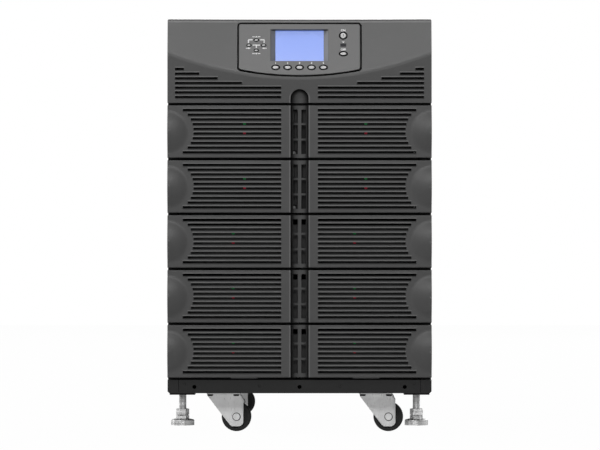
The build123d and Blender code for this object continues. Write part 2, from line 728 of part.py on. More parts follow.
for light_name, rise in (("green_status_lights", GREEN_RISE), ("red_status_lights", RED_RISE)):
    with BuildPart() as lights:
        with BuildSketch(front_plane(CHASSIS_FRONT + STATUS_SEAT)):
            for row in range(ROW_COUNT):
                for _, side in SIDES:
                    with Locations((status_x(row, side), row_middle(row) + rise)):
                        Circle(STATUS_RADIUS)
        extrude(amount=STATUS_SEAT + STATUS_PROUD)
    save(lights, light_name)

# Levelling feet: plates under the base, and the pad, nuts and stem that screw through them
with BuildPart() as foot_plates:
    with BuildSketch(Plane.XY.offset(CASTER_HEIGHT - FOOT_PLATE)):
        with Locations(*[(side * FOOT_X, FOOT_Y) for _, side in SIDES]):
            Rectangle(FOOT_PLATE_WIDTH, FOOT_PLATE_WIDTH)
            Circle(FOOT_STEM_RADIUS + FOOT_THREAD_CLEARANCE, mode=Mode.SUBTRACT)
    extrude(amount=FOOT_PLATE)
save(foot_plates, "foot_plates")

pad_top = FOOT_LIFT + FOOT_PAD_HEIGHT
foot_nuts = (
    (pad_top, FOOT_LOCKNUT_HEIGHT),
    (pad_top + FOOT_LOCKNUT_HEIGHT + FOOT_NUT_GAP, FOOT_NUT_HEIGHT),
)
for side_name, side in SIDES:
    with BuildPart() as foot:
        with BuildSketch(Plane.XY.offset(FOOT_LIFT)):
            with Locations((side * FOOT_X, FOOT_Y)):
                Circle(FOOT_PAD_RADIUS)
        extrude(amount=FOOT_PAD_HEIGHT)
        fillet(foot.edges().group_by(Axis.Z)[-1], FOOT_PAD_ROUND)
        for nut_low, nut_height in foot_nuts:
            with BuildSketch(Plane.XY.offset(nut_low)):
                with Locations((side * FOOT_X, FOOT_Y)):
                    RegularPolygon(FOOT_NUT_WIDTH / 2, 6, major_radius=False)
            extrude(amount=nut_height)
        with BuildSketch(Plane.XY.offset(pad_top)):
            with Locations((side * FOOT_X, FOOT_Y)):
                Circle(FOOT_STEM_RADIUS)
        extrude(amount=CASTER_HEIGHT + FOOT_STEM_REACH - pad_top)
    save(foot, f"{side_name}_levelling_foot")

# Casters: top plates with their kingpins, then a fork and a wheel each
caster_places = [(side * CASTER_X, end_y) for _, end_y in CASTER_ENDS for _, side in SIDES]
with BuildPart() as caster_plates:
    with BuildSketch(Plane.XY.offset(CASTER_HEIGHT)):
        with Locations(*caster_places):
            RectangleRounded(PLATE_WIDTH, PLATE_LENGTH, PLATE_CORNER)
    extrude(amount=-PLATE_THICKNESS)
    with BuildSketch(Plane.XY.offset(CASTER_HEIGHT - PLATE_THICKNESS)):
        with Locations(*caster_places):
            Circle(KINGPIN_RADIUS)
    extrude(amount=-(2 * SWIVEL_GAP + FORK_CROWN))
    with BuildSketch(Plane.XY.offset(FORK_TOP - FORK_CROWN - SWIVEL_GAP)):
        with Locations(*caster_places):
            Circle(KINGPIN_HEAD_RADIUS)
    extrude(amount=-KINGPIN_HEAD)
save(caster_plates, "caster_plates")


def caster_fork(name, pivot_x, pivot_y):
    """Pressed fork: two bowed, swept-back cheeks under a crown, with the riveted axle."""
    axle_x = pivot_x + CASTER_TRAIL
    nose_z = WHEEL_RADIUS - FORK_NOSE
    half_width = FORK_WIDTH / 2
    bow_width = half_width + FORK_BOW
    head_width = bow_width + AXLE_HEAD
    front_x = pivot_x - FORK_FRONT
    back_x = pivot_x + FORK_BACK
    middle_x = (front_x + back_x) / 2
    with BuildPart() as fork:
        with BuildSketch(front_plane(pivot_y + bow_width)) as cheek:
            with BuildLine():
                Polyline(
                    (front_x, FORK_TOP),
                    (front_x, FORK_TOP - FORK_LIP),
                    (axle_x - FORK_NOSE_FRONT, nose_z),
                    (back_x, nose_z),
                    (back_x, FORK_TOP - FORK_CORNER_DROP),
                    (back_x - FORK_CORNER, FORK_TOP),
                    close=True,
                )
            make_face()
            fillet(cheek.vertices().group_by(Axis.Y)[0], FORK_NOSE_ROUND)
        extrude(amount=2 * bow_width)
        # Seen from above the cheeks bow outwards, and their edges are rolled over
        with BuildSketch(Plane.XY):
            with BuildLine():
                front_bow = ThreePointArc(
                    (front_x, pivot_y - half_width),
                    (middle_x, pivot_y - bow_width),
                    (back_x, pivot_y - half_width),
                )
                rear_bow = ThreePointArc(
                    (back_x, pivot_y + half_width),
                    (middle_x, pivot_y + bow_width),
                    (front_x, pivot_y + half_width),
                )
                Line(front_bow @ 1, rear_bow @ 0)
                Line(rear_bow @ 1, front_bow @ 0)
            make_face()
        extrude(amount=FORK_TOP, mode=Mode.INTERSECT)
        cheek_faces = fork.faces().sort_by(Axis.Y)
        fillet(cheek_faces[0].edges() + cheek_faces[-1].edges(), FORK_EDGE_ROUND)
        with BuildSketch(front_plane(pivot_y + half_width - FORK_CHEEK)):
            with Locations((pivot_x, 0)):
                Rectangle(
                    2 * (FORK_FRONT + FORK_BACK),
                    FORK_TOP - FORK_CROWN,
                    align=(Align.CENTER, Align.MIN),
                )
        extrude(amount=FORK_WIDTH - 2 * FORK_CHEEK, mode=Mode.SUBTRACT)
        with Locations((pivot_x, pivot_y, FORK_TOP)):
            Hole(KINGPIN_RADIUS + PIN_CLEARANCE, depth=FORK_CROWN)
        for head_y in (pivot_y + head_width, pivot_y - half_width):
            with BuildSketch(front_plane(head_y)):
                with Locations((axle_x, WHEEL_RADIUS)):
                    Circle(AXLE_HEAD_RADIUS)
            extrude(amount=head_width - half_width)
        with BuildSketch(front_plane(pivot_y + half_width)):
            with Locations((axle_x, WHEEL_RADIUS)):
                Circle(AXLE_RADIUS)
        extrude(amount=FORK_WIDTH)
        for dish_y in (pivot_y + head_width, pivot_y - head_width + AXLE_DISH):
            with BuildSketch(front_plane(dish_y)):
                with Locations((axle_x, WHEEL_RADIUS)):
                    Circle(AXLE_DISH_RADIUS)
            extrude(amount=AXLE_DISH, mode=Mode.SUBTRACT)
    save(fork, name)


def caster_wheel(name, pivot_x, pivot_y):
    """Turned wheel with a rounded tread and dished sides."""
    axle_x = pivot_x + CASTER_TRAIL
    half = WHEEL_WIDTH / 2
    bore = AXLE_RADIUS + PIN_CLEARANCE
    with BuildPart() as wheel:
        with BuildSketch(Plane.YZ.offset(axle_x)) as section:
            with BuildLine():
                Polyline(
                    (pivot_y - half, WHEEL_RADIUS + bore),
                    (pivot_y - half, WHEEL_RADIUS + HUB_RADIUS),
                    (pivot_y - half + HUB_DISH, WHEEL_RADIUS + HUB_RADIUS),
                    (pivot_y - half + HUB_DISH, WHEEL_RADIUS + DISH_RADIUS),
                    (pivot_y - half, WHEEL_RADIUS + DISH_RADIUS),
                    (pivot_y - half, 2 * WHEEL_RADIUS),
                    (pivot_y + half, 2 * WHEEL_RADIUS),
                    (pivot_y + half, WHEEL_RADIUS + DISH_RADIUS),
                    (pivot_y + half - HUB_DISH, WHEEL_RADIUS + DISH_RADIUS),
                    (pivot_y + half - HUB_DISH, WHEEL_RADIUS + HUB_RADIUS),
                    (pivot_y + half, WHEEL_RADIUS + HUB_RADIUS),
                    (pivot_y + half, WHEEL_RADIUS + bore),
                    close=True,
                )
            make_face()
            fillet(section.vertices().group_by(Axis.Y)[-1], WHEEL_ROUND)
        revolve(axis=Axis((axle_x, pivot_y, WHEEL_RADIUS), (0, 1, 0)))
    save(wheel, name)


for end_name, end_y in CASTER_ENDS:
    for side_name, side in SIDES:
        caster_fork(f"{end_name}_{side_name}_caster_fork", side * CASTER_X, end_y)
        caster_wheel(f"{end_name}_{side_name}_caster_wheel", side * CASTER_X, end_y)
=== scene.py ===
from math import cos, pi, radians, sin, tan

import bmesh
import bpy
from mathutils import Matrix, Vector


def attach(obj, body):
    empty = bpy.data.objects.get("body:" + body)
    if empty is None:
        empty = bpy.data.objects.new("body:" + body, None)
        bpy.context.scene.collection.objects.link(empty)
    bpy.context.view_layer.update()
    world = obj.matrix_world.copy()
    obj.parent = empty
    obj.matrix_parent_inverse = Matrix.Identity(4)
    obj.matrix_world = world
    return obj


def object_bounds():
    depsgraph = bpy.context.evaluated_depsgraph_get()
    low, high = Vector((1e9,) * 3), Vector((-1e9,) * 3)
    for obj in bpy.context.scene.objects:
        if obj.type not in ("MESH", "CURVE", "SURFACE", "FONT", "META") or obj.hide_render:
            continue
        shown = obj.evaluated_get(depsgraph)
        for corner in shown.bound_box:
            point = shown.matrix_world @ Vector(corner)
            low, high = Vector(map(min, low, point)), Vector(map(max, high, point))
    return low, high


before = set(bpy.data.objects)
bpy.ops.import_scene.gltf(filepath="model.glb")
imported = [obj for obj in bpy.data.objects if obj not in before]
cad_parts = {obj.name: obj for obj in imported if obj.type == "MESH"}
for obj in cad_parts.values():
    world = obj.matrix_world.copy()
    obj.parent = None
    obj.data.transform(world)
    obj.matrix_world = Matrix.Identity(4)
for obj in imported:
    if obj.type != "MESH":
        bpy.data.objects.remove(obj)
cad_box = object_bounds()

# Metres. X runs to the viewer's right, Y from the front to the rear, Z up from the floor.
SIDES = (("left", -1), ("right", 1))
BOTH_WAYS = (-1, 1)
UP = (0, 0, 1)
DOWN = (0, 0, -1)
FORWARD = (0, -1, 0)
BACKWARD = (0, 1, 0)

# Camera: level, in front of the middle, far enough for the photograph's weak perspective
CAMERA_PLACE = (0.00075, -6.170, 0.3477)
CAMERA_LENS = 210.05
CAMERA_SENSOR = 36.0
CAMERA_FAR = 50.0

# Studio lamps: name, place, point aimed at, width, height, watts
LAMPS = (
    ("lamp_front", (0.0, -4.6, 2.3), (0.0, -0.34, 0.35), 2.0, 0.8, 55.0),
    ("lamp_front_left", (-2.2, -4.2, 2.2), (0.0, -0.34, 0.35), 1.6, 0.8, 22.0),
    ("lamp_above_left", (-1.6, -1.6, 3.0), (0.0, -0.34, 0.35), 1.4, 1.2, 42.0),
    ("lamp_side_left", (-3.2, 0.9, 1.4), (-0.22, 0.0, 0.35), 1.6, 1.6, 60.0),
    ("lamp_side_right", (3.2, 0.9, 1.4), (0.22, 0.0, 0.35), 1.6, 1.6, 60.0),
    ("lamp_rear", (0.6, 4.6, 2.2), (0.0, 0.34, 0.35), 2.0, 1.2, 90.0),
)
WHITE = (1, 1, 1, 1)
AMBIENT = 0.06
FLOOR_SIZE = 12.0
FLOOR_PARTS = 8
FLOOR_DROP = 0.0004
FLOOR_GREY = (0.5, 0.5, 0.5, 1)
FLOOR_WHITENESS = 0.985

# Front face, which leans back above the crease, and the control panel's plane there
TOP = cad_box[1][2]
HALF_WIDTH = cad_box[1][0]
FACE_Y = -0.342
CREASE_Z = 0.5937
CREASE_SAG = 0.0419
CREASE_RADIUS = (HALF_WIDTH**2 + CREASE_SAG**2) / (2 * CREASE_SAG)
PANEL_TILT = radians(12.0)
PANEL_MIDDLE_Z = 0.64015
PANEL_PROUD = 0.0025
PANEL_Y = FACE_Y + (PANEL_MIDDLE_Z - CREASE_Z) * tan(PANEL_TILT) - PANEL_PROUD
PANEL_NORMAL = Vector((0.0, -cos(PANEL_TILT), sin(PANEL_TILT)))
PANEL_UP = Vector((0.0, sin(PANEL_TILT), cos(PANEL_TILT)))

# Slots of the row bezels, which end along a ring round each dome, and of the control head, along an arc
SLOT_INNER_X = 0.0305
ROW_SPACING = 0.0915
ROW_SLOT_LOWEST = 0.10269
ROW_SLOT_SPACING = 0.00783
ROW_SLOT_HEIGHT = 0.0042
ROW_SLOT_COUNT = 10
ROW_SLOT_RING = 0.0435
HEAD_SLOT_LOWEST = 0.5607
HEAD_SLOT_SPACING = 0.0078
HEAD_SLOT_HEIGHT = 0.0041
HEAD_SLOT_COUNT = 7
HEAD_SLOT_OUTER_X = 0.2074
HEAD_SLOT_CREASE_MARGIN = 0.0171
HEAD_SLOT_ARC = CREASE_RADIUS + HEAD_SLOT_CREASE_MARGIN
HEAD_SLOT_AXIS_Z = CREASE_Z + CREASE_RADIUS

# Painted light and shade on the bars between slots, in levels of an 8-bit grey, and how far the painted
# shadow at their edge goes in and out
LIP_PAINTED_LIGHT_LIFT = 40
LIP_PAINTED_SHADE_DROP = 30
LIP_PAINTED_SHADOW_LEVEL = 16
LIP_SHARE = 0.8
LIP_FADE = 0.0002
LIP_DEPTH = 0.0010
LIP_EDGE_RAMP = (-0.0007, -0.0003)
LIP_FACE_RAMP = (FACE_Y + 0.0008, FACE_Y + 0.0003)

# Painted shade on the middle channel's flanks and painted highlights on its rim and the top edge; each ramp
# goes from where a mask is 0 to where it is 1
CHANNEL_END_Z = 0.5583
FLANK_PAINTED_SHADE_LEVEL = 14
FLANK_SPECULAR = 0.03
FLANK_REACH_RAMPS = ((0.0085, 0.0145), (0.0156, 0.0151))
FLANK_DEPTH_RAMP = (FACE_Y + 0.0003, FACE_Y + 0.0008)
RIM_PAINTED_HIGHLIGHT_LIFT = 34
RIM_REACH_RAMPS = ((0.0152, 0.0156), (0.0176, 0.0168))
RIM_DEPTH_RAMP = (FACE_Y + 0.0009, FACE_Y + 0.0004)
RIM_HEIGHT_RAMP = (CHANNEL_END_Z + 0.012, CHANNEL_END_Z + 0.004)
TOP_EDGE_PAINTED_HIGHLIGHT_LIFT = 36
TOP_EDGE_RAMPS = ((TOP - 0.0056, TOP - 0.0049), (TOP - 0.0016, TOP - 0.0022))

# Painted light on the sides of the display window and a painted shadow along its upper edge
WINDOW_LOW = 0.6208
WINDOW_HIGH = 0.6722
WINDOW_SIDE_PAINTED_LIGHT_LIFT = 34
WINDOW_SIDE_REACH_RAMPS = ((0.0400, 0.0404), (0.0482, 0.0472))
WINDOW_SIDE_HEIGHT_RAMPS = ((WINDOW_LOW, WINDOW_LOW + 0.0006), (WINDOW_HIGH, WINDOW_HIGH - 0.0006))
WINDOW_UPPER_PAINTED_SHADOW_LEVEL = 40
WINDOW_UPPER_REACH_RAMP = (0.0482, 0.0442)
WINDOW_UPPER_HEIGHT_RAMPS = (
    (WINDOW_HIGH, WINDOW_HIGH + 0.0004),
    (WINDOW_HIGH + 0.0030, WINDOW_HIGH + 0.0016),
)

# Keys on the control panel, as distances across from the middle and down from the top
KEY_PROUD = 0.0010
KEY_RING = 0.0023
SOFT_KEY_SPACING = 0.0199
SOFT_KEY_XS = [SOFT_KEY_SPACING * step for step in range(-2, 3)]
SOFT_KEY_DROP = 0.0809
SOFT_KEY_SIZE = (0.0096, 0.0050)
NAV_X = -0.0721
NAV_DROP = 0.0436
NAV_REACH = (0.0122, 0.0087)
NAV_KEY_SIZE = (0.0054, 0.0028)
NAV_KEY_RING = 0.0016
POWER_X = 0.0729
START_KEY_DROP = 0.0274
START_KEY_SIZE = (0.0092, 0.0092)
STOP_KEY_DROP = 0.0579
STOP_KEY_SIZE = (0.0100, 0.0048)
LENS_DROP = 0.0433

# Skirts round the keys: section as shares of the ring's width and heights off the panel
SKIRT_SECTION = ((1.18, 0.0), (1.1, 0.00016), (0.45, 0.0001), (0.1, -0.0003), (0.0, -0.0013))
SKIRT_CLEARANCE = 0.00005
SKIRT_LOWNESS = 0.85

# Printed marks. Those round the navigation keys lie at distances across and down from their middle.
INK_LIFT = 0.00004
INK_THICKNESS = 0.00008
INK_SPREAD = 0.06
CAPITAL_SHARE = 0.7
WORD_HEIGHT = 0.0034
START_WORD_RISE = 0.0088
STOP_WORD_RISE = 0.0068
START_FIGURE_HEIGHT = 0.0040
SOFT_FIGURE_HEIGHT = 0.0032
SOFT_FIGURE_RISE = 0.0072
MARK_LINE = 0.0019
MARK_DASH = 0.0012
PAIRED_BARS = (
    (0.0098, -0.0092, 0.0072, MARK_LINE),
    (0.0131, -0.0062, MARK_LINE, 0.0050),
    (0.0153, 0.0050, 0.0040, MARK_DASH),
    (0.0046, -0.0143, 0.0042, MARK_DASH),
    (0.0046, 0.0141, 0.0042, MARK_DASH),
)
MIDDLE_BARS = (
    (-0.0002, 0.0120, MARK_LINE),
    (0.0024, MARK_LINE, 0.0040),
)
SIDE_ARROW_PLACE = (0.0112, 0.0050)
SIDE_ARROW_SIZE = (0.0042, 0.0030)
UPPER_ARROW_DROP = -0.0145
LOWER_ARROW_DROP = 0.0143
NAV_ARROW_SIZE = (0.0044, 0.0026)
LENS_ARROW_RISE = 0.0048
LENS_ARROW_SIZE = (0.0050, 0.0022)

# Turned forms, as rings of a radius, a height along the axis and whether the ring is hexagonal
ROUND_STEPS = 36
ROUND_ANGLES = [2 * pi * step / ROUND_STEPS for step in range(ROUND_STEPS)]
BOLT_RINGS = (
    (0.0056, 0.0, False),
    (0.0056, 0.0005, False),
    (0.0053, 0.0008, False),
    (0.0046, 0.0009, True),
    (0.0046, 0.0031, True),
    (0.0043, 0.0034, False),
    (0.0030, 0.0034, False),
    (0.0028, 0.0032, False),
)
SCREW_RING_SHARES = (
    (1.0, 0.0, False),
    (1.0, 0.25, False),
    (0.9, 0.42, False),
    (0.7, 0.54, False),
    (0.42, 0.56, True),
    (0.40, 0.24, True),
)
# Dark rings round each axle head: a painted shadow of the groove there
AXLE_SHADOW_RINGS = (
    (0.0070, 0.0, False),
    (0.0070, 0.0018, False),
    (0.0066, 0.0020, False),
)
# Dark ring on each foot's pad: a painted shade of the pad's top edge
PAD_SHADE_RINGS = (
    (0.0150, -0.0002, False),
    (0.0150, 0.0005, False),
    (0.0145, 0.0007, False),
)
NUT_WASHER_RINGS = (
    (0.0088, 0.00005, False),
    (0.0088, 0.00075, False),
)

# Places of the small fasteners
CASTER_X = 0.128
CASTER_YS = (("front", -0.260), ("rear", 0.240))
CASTER_BOLT_REACH = (0.0220, 0.0375)
CASTER_PLATE_LOW = 0.0643
AXLE_TRAIL = 0.0217
AXLE_Z = 0.025
AXLE_SHADOW_RING_REACH = 0.0150
FOOT_X = 0.1956
FOOT_Y = -0.306
FOOT_PAD_TOP = 0.0224
FOOT_NUT_SEAM = 0.0292
MODULE_FRONT_Y = -0.314
MODULE_SCREW_ZS = (0.3763, 0.4677)
MODULE_SCREW_XS = (-0.00945, 0.19355)
MODULE_SCREW_RADIUS = 0.0034
RAIL_FRONT_Y = -0.335
RAIL_RIVETS = ((0.0670, 0.0792), (0.1914, 0.0829))
RAIL_RIVET_RADIUS = 0.0020
CABLE_PLATE_Y = 0.348
CABLE_PLATE_Z = 0.6113
CABLE_SCREW_X = 0.076
CABLE_SCREW_RISES = (0.0, 0.025, -0.025)
CABLE_SCREW_RADIUS = 0.0032

# Catches of a module: left and right edge, low and high edge above its screws, and how far they stand out
LATCH_BEVEL = 0.0007
LATCH_PLATES = (
    (-0.0076, -0.0043, 0.0048, 0.0720, 0.0030),
    (-0.0116, -0.0080, 0.0055, 0.0210, 0.0016),
    (-0.0116, -0.0080, 0.0505, 0.0720, 0.0016),
    (0.0058, 0.0110, 0.0505, 0.0720, 0.0016),
)
SHARP_ANGLE = radians(35)


def tone(red, green=None, blue=None):
    """Linear colour of an 8-bit screen colour, or of a grey if one level is given."""
    levels = (red, red, red) if green is None else (red, green, blue)
    linear = []
    for level in levels:
        share = level / 255
        if share <= 0.04045:
            linear.append(share / 12.92)
        else:
            linear.append(((share + 0.055) / 1.055) ** 2.4)
    return (*linear, 1.0)


class Finish:
    """A node material that is built up round one principled shader."""

    def __init__(self, name, **constants):
        self.material = bpy.data.materials.new(name)
        self.material.use_nodes = True
        self.nodes = self.material.node_tree.nodes
        self.links = self.material.node_tree.links
        self.shader = self.nodes["Principled BSDF"]
        self.place = self.nodes.new("ShaderNodeTexCoord").outputs["Object"]
        self.normal = None
        for words, value in constants.items():
            socket = words.replace("_", " ").title().replace("Ior", "IOR")
            self.shader.inputs[socket].default_value = value

    def scaled(self, size, stretch):
        """Object coordinates in units of a size, longer along an axis where its stretch is above 1."""
        mapping = self.nodes.new("ShaderNodeMapping")
        mapping.inputs["Scale"].default_value = [1 / (size * factor) for factor in stretch]
        self.links.new(self.place, mapping.inputs["Vector"])
        return mapping.outputs["Vector"]

    def noise(self, size, detail, stretch=(1, 1, 1)):
        """Soft irregular grain with features of about a size."""
        texture = self.nodes.new("ShaderNodeTexNoise")
        texture.inputs["Scale"].default_value = 1.0
        texture.inputs["Detail"].default_value = detail
        self.links.new(self.scaled(size, stretch), texture.inputs["Vector"])
        return texture.outputs[0]

    def cells(self, size):
        """Distance to the nearest of scattered points a size apart."""
        texture = self.nodes.new("ShaderNodeTexVoronoi")
        texture.inputs["Scale"].default_value = 1.0
        self.links.new(self.scaled(size, (1, 1, 1)), texture.inputs["Vector"])
        return texture.outputs["Distance"]

    def bands(self, spacing, direction):
        """Even bands across an axis."""
        texture = self.nodes.new("ShaderNodeTexWave")
        texture.wave_type = "BANDS"
        texture.bands_direction = direction
        texture.inputs["Scale"].default_value = 2 * pi / (20 * spacing)
        self.links.new(self.place, texture.inputs["Vector"])
        return texture.outputs["Fac"]

    def blend(self, first, second, share):
        """Two grey patterns added together, the second with a share of the whole."""
        mix = self.nodes.new("ShaderNodeMix")
        mix.inputs[0].default_value = share
        self.links.new(first, mix.inputs[2])
        self.links.new(second, mix.inputs[3])
        return mix.outputs[0]

    def colour(self, pattern, dark, light, low=0.35, high=0.65):
        """Base colour that goes from dark to light along a pattern."""
        ramp = self.nodes.new("ShaderNodeValToRGB")
        ramp.color_ramp.elements[0].position = low
        ramp.color_ramp.elements[0].color = dark
        ramp.color_ramp.elements[1].position = high
        ramp.color_ramp.elements[1].color = light
        self.links.new(pattern, ramp.inputs["Fac"])
        self.links.new(ramp.outputs["Color"], self.shader.inputs["Base Color"])
        return ramp.outputs["Color"]

    def over(self, shade, mask, colour):
        """Another colour laid over the base colour where a mask is 1."""
        mix = self.nodes.new("ShaderNodeMix")
        mix.data_type = "RGBA"
        mix.inputs[7].default_value = colour
        self.links.new(mask, mix.inputs[0])
        self.links.new(shade, mix.inputs[6])
        self.links.new(mix.outputs[2], self.shader.inputs["Base Color"])
        return mix.outputs[2]

    def along(self, axis):
        """Object coordinate along an axis."""
        split = self.nodes.new("ShaderNodeSeparateXYZ")
        self.links.new(self.place, split.inputs[0])
        return split.outputs[axis]

    def sum_of(self, operation, first, second=0.0):
        """A sum in one step; the second number is a socket or a constant."""
        step = self.nodes.new("ShaderNodeMath")
        step.operation = operation
        self.links.new(first, step.inputs[0])
        if isinstance(second, float):
            step.inputs[1].default_value = second
        else:
            self.links.new(second, step.inputs[1])
        return step.outputs[0]

    def from_middle(self):
        """Distance across from the middle, on either side."""
        return self.sum_of("ABSOLUTE", self.along("X"))

    def distance(self, across, up):
        """Length of a step across and up."""
        squares = [self.sum_of("POWER", part, 2.0) for part in (across, up)]
        return self.sum_of("SQRT", self.sum_of("ADD", *squares))

    def mapped(self, value, start, end, low=0.0, high=1.0):
        """Number that goes from low to high while a value goes from a start to an end, and no further."""
        spread = self.nodes.new("ShaderNodeMapRange")
        spread.inputs["From Min"].default_value = start
        spread.inputs["From Max"].default_value = end
        spread.inputs["To Min"].default_value = low
        spread.inputs["To Max"].default_value = high
        self.links.new(value, spread.inputs["Value"])
        return spread.outputs["Result"]

    def both(self, *masks):
        """Where all of some masks are 1."""
        total = masks[0]
        for mask in masks[1:]:
            total = self.sum_of("MULTIPLY", total, mask)
        return total

    def band(self, value, rising, falling):
        """1 between a rising and a falling ramp of a value."""
        return self.both(self.mapped(value, *rising), self.mapped(value, *falling))

    def roughness(self, pattern, smooth, rough):
        """Roughness that goes from smooth to rough along a pattern."""
        self.links.new(self.mapped(pattern, 0.3, 0.7, smooth, rough), self.shader.inputs["Roughness"])

    def relief(self, pattern, depth):
        """Fine surface relief of a depth in metres, over any relief made before it."""
        bump = self.nodes.new("ShaderNodeBump")
        bump.inputs["Strength"].default_value = 1.0
        bump.inputs["Distance"].default_value = depth
        self.links.new(pattern, bump.inputs["Height"])
        if self.normal is not None:
            self.links.new(self.normal, bump.inputs["Normal"])
        self.normal = bump.outputs["Normal"]
        self.links.new(self.normal, self.shader.inputs["Normal"])


def bar_lips(finish, rise, spacing, slot_height, count, field):
    """Masks of the painted light on the lower half, the painted shade on the upper half and the painted
    shadow at the edge of the bars between slots; the lowest slot's share starts at rise 0.
    """
    phase = finish.sum_of("FLOORED_MODULO", rise, spacing)
    slot_low = (spacing - slot_height) / 2
    slot_high = (spacing + slot_height) / 2
    here = finish.both(
        field(finish, finish.sum_of("SUBTRACT", rise, phase)),
        finish.mapped(finish.from_middle(), SLOT_INNER_X - LIP_FADE, SLOT_INNER_X),
        finish.mapped(rise, -LIP_FADE, 0.0),
        finish.mapped(rise, count * spacing, count * spacing - LIP_FADE),
    )
    near_face = finish.mapped(finish.along("Y"), *LIP_FACE_RAMP)
    lower = finish.both(near_face, finish.mapped(phase, slot_high - LIP_FADE, slot_high))
    upper = finish.mapped(phase, slot_low + LIP_DEPTH + LIP_FADE, slot_low + LIP_DEPTH)
    edge = finish.both(upper, finish.mapped(phase, *[slot_low + step for step in LIP_EDGE_RAMP]))
    return [finish.sum_of("MULTIPLY", finish.both(here, part), LIP_SHARE) for part in (lower, upper, edge)]


def row_field(finish, slot_rise):
    """Inside the ends of a row's slots, which follow a ring round each dome."""
    from_side = finish.sum_of("SUBTRACT", finish.from_middle(), HALF_WIDTH)
    from_level = finish.sum_of("SUBTRACT", slot_rise, ROW_SLOT_SPACING * (ROW_SLOT_COUNT - 1) / 2)
    return finish.mapped(finish.distance(from_side, from_level), ROW_SLOT_RING - LIP_FADE, ROW_SLOT_RING)


def row_lips(finish):
    """Painted light and shade on the slot bars in the row bezels, which repeat from row to row."""
    from_lowest = finish.sum_of("SUBTRACT", finish.along("Z"), ROW_SLOT_LOWEST - ROW_SLOT_SPACING / 2)
    rise = finish.sum_of("FLOORED_MODULO", from_lowest, ROW_SPACING)
    return bar_lips(finish, rise, ROW_SLOT_SPACING, ROW_SLOT_HEIGHT, ROW_SLOT_COUNT, row_field)


def head_field(finish, slot_rise):
    """Inside the ends of the control head's slots, which follow an arc below the crease."""
    from_axis = finish.sum_of("SUBTRACT", slot_rise, HEAD_SLOT_AXIS_Z - HEAD_SLOT_LOWEST)
    from_arc = finish.distance(finish.along("X"), from_axis)
    return finish.both(
        finish.mapped(from_arc, HEAD_SLOT_ARC - LIP_FADE, HEAD_SLOT_ARC),
        finish.mapped(finish.from_middle(), HEAD_SLOT_OUTER_X + LIP_FADE, HEAD_SLOT_OUTER_X),
    )


def head_lips(finish):
    """Painted light and shade on the slot bars in the control head."""
    rise = finish.sum_of("SUBTRACT", finish.along("Z"), HEAD_SLOT_LOWEST - HEAD_SLOT_SPACING / 2)
    return bar_lips(finish, rise, HEAD_SLOT_SPACING, HEAD_SLOT_HEIGHT, HEAD_SLOT_COUNT, head_field)


def painted_lip_shading(finish, shade, level, lips):
    """Bars between slots, with painted light on the lower half, painted shade on the upper half and a painted
    shadow at the edge.
    """
    lower, upper, edge = lips(finish)
    shade = finish.over(shade, lower, tone(level + LIP_PAINTED_LIGHT_LIFT))
    shade = finish.over(shade, upper, tone(level - LIP_PAINTED_SHADE_DROP))
    return finish.over(shade, edge, tone(LIP_PAINTED_SHADOW_LEVEL))


def channel_painted_shading(finish, shade, level, specular):
    """Painted shade on the matt flanks of the middle channel, and painted highlights on the rim along it and
    on the top edge.
    """
    across, depth, height = [finish.along(axis) for axis in "XYZ"]
    over_end = finish.sum_of("MAXIMUM", finish.sum_of("SUBTRACT", height, CHANNEL_END_Z), 0.0)
    reach = finish.distance(across, over_end)
    flank = finish.both(finish.band(reach, *FLANK_REACH_RAMPS), finish.mapped(depth, *FLANK_DEPTH_RAMP))
    rim = finish.both(
        finish.band(reach, *RIM_REACH_RAMPS),
        finish.mapped(depth, *RIM_DEPTH_RAMP),
        finish.mapped(height, *RIM_HEIGHT_RAMP),
    )
    shade = finish.over(shade, flank, tone(FLANK_PAINTED_SHADE_LEVEL))
    shade = finish.over(shade, rim, tone(level + RIM_PAINTED_HIGHLIGHT_LIFT))
    finish.over(shade, finish.band(height, *TOP_EDGE_RAMPS), tone(level + TOP_EDGE_PAINTED_HIGHLIGHT_LIFT))
    sheen = finish.mapped(flank, 0.0, 1.0, specular, FLANK_SPECULAR)
    finish.links.new(sheen, finish.shader.inputs["Specular IOR Level"])


def window_painted_shading(finish, shade, level):
    """Painted light on the sides of the display window, and a painted shadow along its upper edge."""
    across = finish.from_middle()
    height = finish.along("Z")
    sides = finish.both(
        finish.band(across, *WINDOW_SIDE_REACH_RAMPS),
        finish.band(height, *WINDOW_SIDE_HEIGHT_RAMPS),
    )
    upper = finish.both(
        finish.mapped(across, *WINDOW_UPPER_REACH_RAMP),
        finish.band(height, *WINDOW_UPPER_HEIGHT_RAMPS),
    )
    shade = finish.over(shade, sides, tone(level + WINDOW_SIDE_PAINTED_LIGHT_LIFT))
    finish.over(shade, upper, tone(WINDOW_UPPER_PAINTED_SHADOW_LEVEL))


def moulded_plastic(name, level, spread, smooth, rough, specular, lips=None, windowed=False):
    """Moulded plastic with a fine spark texture and faint flow marks, also with slots or a window in it,
    round which light and shade are painted.
    """
    finish = Finish(name, specular_ior_level=specular)
    flow = finish.noise(0.045, 3.0, (1.6, 1, 1))
    grain = finish.noise(0.0009, 2.0)
    shade = finish.colour(finish.blend(flow, grain, 0.45), tone(level - spread), tone(level + spread))
    # Painted light and shade on the slot bars, painted shade on the channel's flanks and painted highlights
    # on its rim and the top edge
    if lips:
        channel_painted_shading(finish, painted_lip_shading(finish, shade, level, lips), level, specular)
    # Painted light and shadow round the display window
    if windowed:
        window_painted_shading(finish, shade, level)
    finish.roughness(finish.blend(flow, grain, 0.6), smooth, rough)
    finish.relief(grain, 0.00006)
    return finish.material


